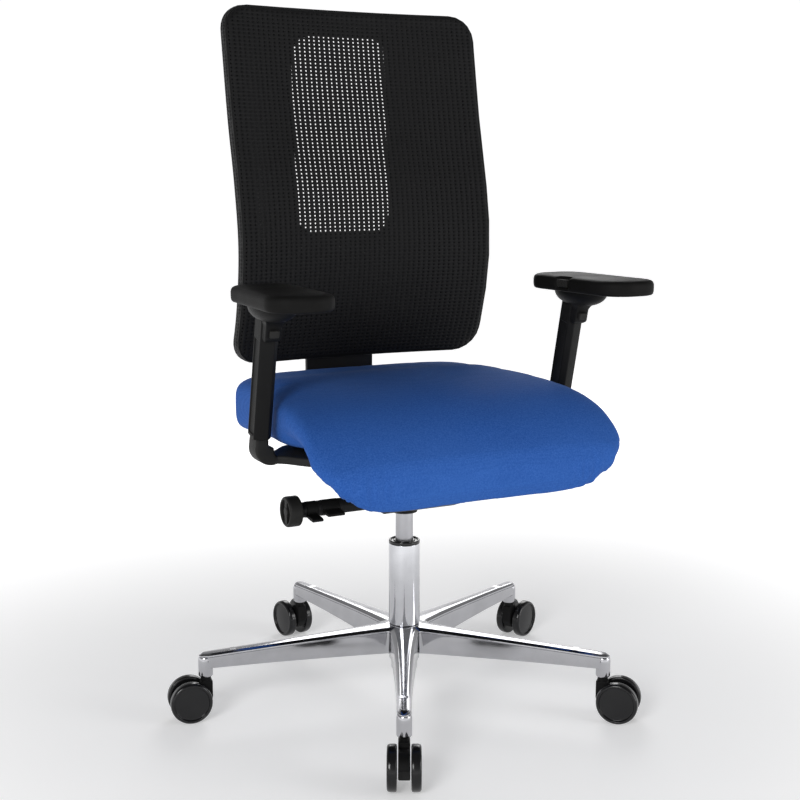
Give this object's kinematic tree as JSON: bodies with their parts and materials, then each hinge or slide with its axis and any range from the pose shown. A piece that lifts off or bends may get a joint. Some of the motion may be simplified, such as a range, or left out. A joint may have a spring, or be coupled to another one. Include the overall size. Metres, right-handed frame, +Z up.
{
  "type": "swivel office chair",
  "caption": "Height-adjustable swivel office chair with a reclining mesh back, a tilting cushioned seat and sliding armrests.",
  "frame": {"origin": "on the floor, on the axis of the lift column", "axes": "+Z up; the sitter faces -Y, with the right hand towards -X"},
  "size_m": [0.7322, 0.7322, 1.1],
  "materials": {
    "polished_aluminium": "polished cast aluminium",
    "chrome": "bright chrome",
    "satin_steel": "satin",
    "spring_steel": "oiled spring steel",
    "dark_steel": "black powder coat",
    "gloss_black": "semi-gloss black",
    "caster_black": "fine matt grain",
    "black_plastic": "fine matt grain",
    "grey_plastic": "spark-eroded matt",
    "pad_skin": "satin polyurethane skin",
    "back_spacer_mesh": "black three-dimensional spacer mesh",
    "blue_knit": "blue stretch knit"
  },
  "bodies": {
    "base": {"base_star": "polished_aluminium", "column_tube": "chrome", "guide_bush": "gloss_black", "thrust_bearing": "satin_steel"},
    "caster_1": {"caster_1_stem": "satin_steel", "caster_1_housing": "caster_black"},
    "caster_1_roller_a": {"caster_1_wheel_a": "gloss_black"},
    "caster_1_roller_b": {"caster_1_wheel_b": "gloss_black"},
    "caster_2": {"caster_2_stem": "satin_steel", "caster_2_housing": "caster_black"},
    "caster_2_roller_a": {"caster_2_wheel_a": "gloss_black"},
    "caster_2_roller_b": {"caster_2_wheel_b": "gloss_black"},
    "caster_3": {"caster_3_stem": "satin_steel", "caster_3_housing": "caster_black"},
    "caster_3_roller_a": {"caster_3_wheel_a": "gloss_black"},
    "caster_3_roller_b": {"caster_3_wheel_b": "gloss_black"},
    "caster_4": {"caster_4_stem": "satin_steel", "caster_4_housing": "caster_black"},
    "caster_4_roller_a": {"caster_4_wheel_a": "gloss_black"},
    "caster_4_roller_b": {"caster_4_wheel_b": "gloss_black"},
    "caster_5": {"caster_5_stem": "satin_steel", "caster_5_housing": "caster_black"},
    "caster_5_roller_a": {"caster_5_wheel_a": "gloss_black"},
    "caster_5_roller_b": {"caster_5_wheel_b": "gloss_black"},
    "lift_rod": {"piston_rod": "chrome", "retaining_clip": "spring_steel"},
    "lift": {"gas_cylinder": "satin_steel", "mechanism_housing": "dark_steel", "main_pivot_shaft": "satin_steel", "front_pivot_shaft": "satin_steel", "tilt_spring": "spring_steel", "control_tube": "dark_steel"},
    "lift_valve": {"valve_pin": "chrome"},
    "tension": {"tension_shaft": "satin_steel", "tension_knob": "grey_plastic"},
    "height_paddle": {"height_lever": "black_plastic"},
    "tilt_paddle": {"tilt_lever": "black_plastic"},
    "recline_arm": {"back_carrier": "dark_steel", "rear_pivot_shaft": "satin_steel"},
    "backrest": {"back_frame": "black_plastic", "back_mesh": "back_spacer_mesh", "back_shell": "black_plastic", "height_guide": "black_plastic"},
    "seat": {"seat_carrier": "dark_steel", "seat_shell": "black_plastic", "seat_cushion": "blue_knit", "left_arm_bracket": "black_plastic", "right_arm_bracket": "black_plastic"},
    "left_arm": {"left_arm_sleeve": "black_plastic", "left_arm_support": "black_plastic"},
    "left_arm_trigger": {"left_height_button": "grey_plastic"},
    "left_pad": {"left_pad_plate": "black_plastic", "left_arm_pad": "pad_skin"},
    "left_pad_trigger": {"left_pad_button": "grey_plastic"},
    "right_arm": {"right_arm_sleeve": "black_plastic", "right_arm_support": "black_plastic"},
    "right_arm_trigger": {"right_height_button": "grey_plastic"},
    "right_pad": {"right_pad_plate": "black_plastic", "right_arm_pad": "pad_skin"},
    "right_pad_trigger": {"right_pad_button": "grey_plastic"}
  },
  "joints": [
    {"name": "seat_swivel", "type": "hinge", "parent": "base", "child": "lift_rod", "pos_m": [0, 0, 0.05], "axis": [0, 0, 1], "continuous": true},
    {"name": "height_lift", "type": "slide", "parent": "lift_rod", "child": "lift", "axis": [0, 0, 1], "range_m": [-0.04, 0.085]},
    {"name": "caster_1_swivel", "type": "hinge", "parent": "base", "child": "caster_1", "pos_m": [-0.14755, -0.28958, 0.05], "axis": [0, 0, 1], "continuous": true},
    {"name": "caster_1_roll_a", "type": "hinge", "parent": "caster_1", "child": "caster_1_roller_a", "pos_m": [-0.15912, -0.3123, 0.0325], "axis": [0.891, -0.454, 0], "continuous": true},
    {"name": "caster_1_roll_b", "type": "hinge", "parent": "caster_1", "child": "caster_1_roller_b", "pos_m": [-0.15912, -0.3123, 0.0325], "axis": [0.891, -0.454, 0], "continuous": true},
    {"name": "caster_2_swivel", "type": "hinge", "parent": "base", "child": "caster_2", "pos_m": [0.22981, -0.22981, 0.05], "axis": [0, 0, 1], "continuous": true},
    {"name": "caster_2_roll_a", "type": "hinge", "parent": "caster_2", "child": "caster_2_roller_a", "pos_m": [0.24784, -0.24784, 0.0325], "axis": [0.7071, 0.7071, 0], "continuous": true},
    {"name": "caster_2_roll_b", "type": "hinge", "parent": "caster_2", "child": "caster_2_roller_b", "pos_m": [0.24784, -0.24784, 0.0325], "axis": [0.7071, 0.7071, 0], "continuous": true},
    {"name": "caster_3_swivel", "type": "hinge", "parent": "base", "child": "caster_3", "pos_m": [0.28958, 0.14755, 0.05], "axis": [0, 0, 1], "continuous": true},
    {"name": "caster_3_roll_a", "type": "hinge", "parent": "caster_3", "child": "caster_3_roller_a", "pos_m": [0.3123, 0.15912, 0.0325], "axis": [-0.454, 0.891, 0], "continuous": true},
    {"name": "caster_3_roll_b", "type": "hinge", "parent": "caster_3", "child": "caster_3_roller_b", "pos_m": [0.3123, 0.15912, 0.0325], "axis": [-0.454, 0.891, 0], "continuous": true},
    {"name": "caster_4_swivel", "type": "hinge", "parent": "base", "child": "caster_4", "pos_m": [-0.05084, 0.321, 0.05], "axis": [0, 0, 1], "continuous": true},
    {"name": "caster_4_roll_a", "type": "hinge", "parent": "caster_4", "child": "caster_4_roller_a", "pos_m": [-0.05483, 0.34618, 0.0325], "axis": [-0.9877, -0.1564, 0], "continuous": true},
    {"name": "caster_4_roll_b", "type": "hinge", "parent": "caster_4", "child": "caster_4_roller_b", "pos_m": [-0.05483, 0.34618, 0.0325], "axis": [-0.9877, -0.1564, 0], "continuous": true},
    {"name": "caster_5_swivel", "type": "hinge", "parent": "base", "child": "caster_5", "pos_m": [-0.321, 0.05084, 0.05], "axis": [0, 0, 1], "continuous": true},
    {"name": "caster_5_roll_a", "type": "hinge", "parent": "caster_5", "child": "caster_5_roller_a", "pos_m": [-0.34618, 0.05483, 0.0325], "axis": [-0.1564, -0.9877, 0], "continuous": true},
    {"name": "caster_5_roll_b", "type": "hinge", "parent": "caster_5", "child": "caster_5_roller_b", "pos_m": [-0.34618, 0.05483, 0.0325], "axis": [-0.1564, -0.9877, 0], "continuous": true},
    {"name": "recline", "type": "hinge", "parent": "lift", "child": "recline_arm", "pos_m": [0, 0.03, 0.338], "axis": [-1, 0, 0], "range_deg": [0, 18], "stiffness_Nm_per_rad": 60, "springref_deg": -34.38},
    {"name": "seat_tilt", "type": "hinge", "parent": "lift", "child": "seat", "pos_m": [0, -0.095, 0.352], "axis": [-1, 0, 0], "range_deg": [0, 9]},
    {"name": "back_height", "type": "slide", "parent": "recline_arm", "child": "backrest", "axis": [0, 0, 1], "range_m": [0, 0.07]},
    {"name": "height_lever_lift", "type": "hinge", "parent": "lift", "child": "height_paddle", "pos_m": [-0.132, 0, 0.328], "axis": [-1, 0, 0], "range_deg": [0, 12], "stiffness_Nm_per_rad": 0.5, "springref_deg": -11.46},
    {"name": "valve_press", "type": "slide", "parent": "lift", "child": "lift_valve", "axis": [0, 0, -1], "range_m": [0, 0.0027]},
    {"name": "tilt_lever_turn", "type": "hinge", "parent": "lift", "child": "tilt_paddle", "pos_m": [-0.163, 0, 0.328], "axis": [-1, 0, 0], "range_deg": [0, 25]},
    {"name": "tension_turn", "type": "hinge", "parent": "lift", "child": "tension", "pos_m": [-0.19, 0, 0.328], "axis": [1, 0, 0], "continuous": true},
    {"name": "left_arm_height", "type": "slide", "parent": "seat", "child": "left_arm", "axis": [0, -0.225, 0.9744], "range_m": [0, 0.1]},
    {"name": "left_arm_button", "type": "slide", "parent": "left_arm", "child": "left_arm_trigger", "axis": [0, 0.9744, 0.225], "range_m": [0, 0.003], "stiffness_N_per_m": 400, "springref_m": -0.0015},
    {"name": "left_pad_slide", "type": "slide", "parent": "left_arm", "child": "left_pad", "axis": [0.0576, -0.9983, 0], "range_m": [-0.025, 0.025]},
    {"name": "left_pad_press", "type": "slide", "parent": "left_pad", "child": "left_pad_trigger", "axis": [0.9983, 0.0576, 0], "range_m": [0, 0.003], "stiffness_N_per_m": 400, "springref_m": -0.0015},
    {"name": "right_arm_height", "type": "slide", "parent": "seat", "child": "right_arm", "axis": [0, -0.225, 0.9744], "range_m": [0, 0.1]},
    {"name": "right_arm_button", "type": "slide", "parent": "right_arm", "child": "right_arm_trigger", "axis": [0, 0.9744, 0.225], "range_m": [0, 0.003], "stiffness_N_per_m": 400, "springref_m": -0.0015},
    {"name": "right_pad_slide", "type": "slide", "parent": "right_arm", "child": "right_pad", "axis": [-0.0576, -0.9983, 0], "range_m": [-0.025, 0.025]},
    {"name": "right_pad_press", "type": "slide", "parent": "right_pad", "child": "right_pad_trigger", "axis": [-0.9983, 0.0576, 0], "range_m": [0, 0.003], "stiffness_N_per_m": 400, "springref_m": -0.0015}
  ],
  "couplings": [
    {"joint": "seat_tilt", "follows": "recline", "ratio": 0.5},
    {"joint": "valve_press", "follows": "height_lever_lift", "m_per_rad": 0.0119}
  ]
}
